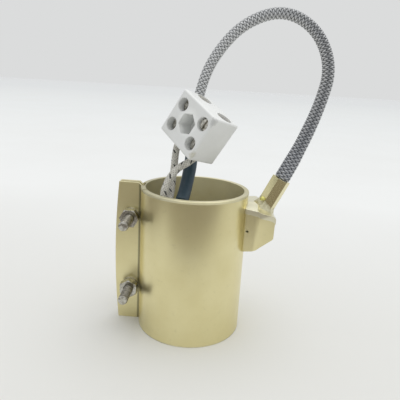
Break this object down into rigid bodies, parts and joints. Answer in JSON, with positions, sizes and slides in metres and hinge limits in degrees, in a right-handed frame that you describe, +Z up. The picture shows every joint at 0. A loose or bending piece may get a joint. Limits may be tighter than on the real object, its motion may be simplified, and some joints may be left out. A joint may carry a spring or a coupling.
{
  "type": "band heater",
  "caption": "Split brass band heater with bolted clamp ears, a side terminal cap and a looped braided outlet that ends in a ceramic terminal block.",
  "frame": {"origin": "centre of the bore in the plane of the lower rim", "axes": "+Z up along the bore, -X towards the split and the clamp ears, +X towards the terminal cap, -Y towards the clamp nuts"},
  "size_m": [0.0825, 0.0438, 0.1303],
  "materials": {
    "brass_sheet": "satin, dulled by handling",
    "braze": "rough, silvery",
    "brass_insert": "machined",
    "mica": "layered",
    "resistance_ribbon": "rolled",
    "plated_steel": "bright zinc",
    "nickel_wire": "drawn",
    "metal_braid": "woven fine wire",
    "glass_fibre": "woven, with black tracer",
    "shrink_tube": "satin",
    "ceramic": "dense white ceramic, opaque"
  },
  "bodies": {
    "heater": {"outer_sheath": "brass_sheet", "inner_sheath": "brass_sheet", "terminal_cap": "brass_sheet", "cap_lid": "brass_sheet", "outlet_ferrule": "brass_sheet", "braze_collar": "braze", "mica_inner": "mica", "winding_core": "mica", "mica_outer": "mica", "heating_winding": "resistance_ribbon", "winding_tail_1": "resistance_ribbon", "winding_tail_2": "resistance_ribbon", "crimp_sleeve_1": "plated_steel", "crimp_sleeve_2": "plated_steel", "inner_wire_1": "glass_fibre", "inner_wire_2": "glass_fibre", "braid": "metal_braid", "lead_sleeve": "shrink_tube", "lead_1": "glass_fibre", "lead_2": "glass_fibre", "lead_conductor_1": "nickel_wire", "lead_conductor_2": "nickel_wire", "terminal_block": "ceramic", "terminal_insert_1": "brass_insert", "terminal_insert_2": "brass_insert", "clamp_screw_lower": "plated_steel", "head_washer_lower": "plated_steel", "clamp_screw_upper": "plated_steel", "head_washer_upper": "plated_steel"},
    "upper_washers": {"flat_washer_upper": "plated_steel", "spring_washer_upper": "plated_steel"},
    "upper_nut": {"clamp_nut_upper": "plated_steel"},
    "lower_washers": {"flat_washer_lower": "plated_steel", "spring_washer_lower": "plated_steel"},
    "lower_nut": {"clamp_nut_lower": "plated_steel"},
    "supply_screw_1": {"supply_screw_1": "plated_steel"},
    "lead_screw_1": {"lead_screw_1": "plated_steel"},
    "supply_screw_2": {"supply_screw_2": "plated_steel"},
    "lead_screw_2": {"lead_screw_2": "plated_steel"}
  },
  "joints": [
    {"name": "upper_nut_travel", "type": "slide", "parent": "heater", "child": "upper_nut", "axis": [0, -1, 0], "range_m": [0, 0.0098]},
    {"name": "upper_washers_travel", "type": "slide", "parent": "heater", "child": "upper_washers", "axis": [0, -1, 0], "range_m": [0, 0.0098]},
    {"name": "lower_nut_travel", "type": "slide", "parent": "heater", "child": "lower_nut", "axis": [0, -1, 0], "range_m": [0, 0.0098]},
    {"name": "lower_washers_travel", "type": "slide", "parent": "heater", "child": "lower_washers", "axis": [0, -1, 0], "range_m": [0, 0.0098]},
    {"name": "supply_screw_1_travel", "type": "slide", "parent": "heater", "child": "supply_screw_1", "axis": [0.6023, 0.7651, -0.2276], "range_m": [-0.0015, 0.0015]},
    {"name": "lead_screw_1_travel", "type": "slide", "parent": "heater", "child": "lead_screw_1", "axis": [-0.6023, -0.7651, 0.2276], "range_m": [0, 0.0016]},
    {"name": "supply_screw_2_travel", "type": "slide", "parent": "heater", "child": "supply_screw_2", "axis": [0.6023, 0.7651, -0.2276], "range_m": [-0.0001, 0.003]},
    {"name": "lead_screw_2_travel", "type": "slide", "parent": "heater", "child": "lead_screw_2", "axis": [-0.6023, -0.7651, 0.2276], "range_m": [0, 0.0016]}
  ],
  "couplings": [
    {"joint": "upper_washers_travel", "follows": "upper_nut_travel", "ratio": 1},
    {"joint": "lower_washers_travel", "follows": "lower_nut_travel", "ratio": 1}
  ]
}
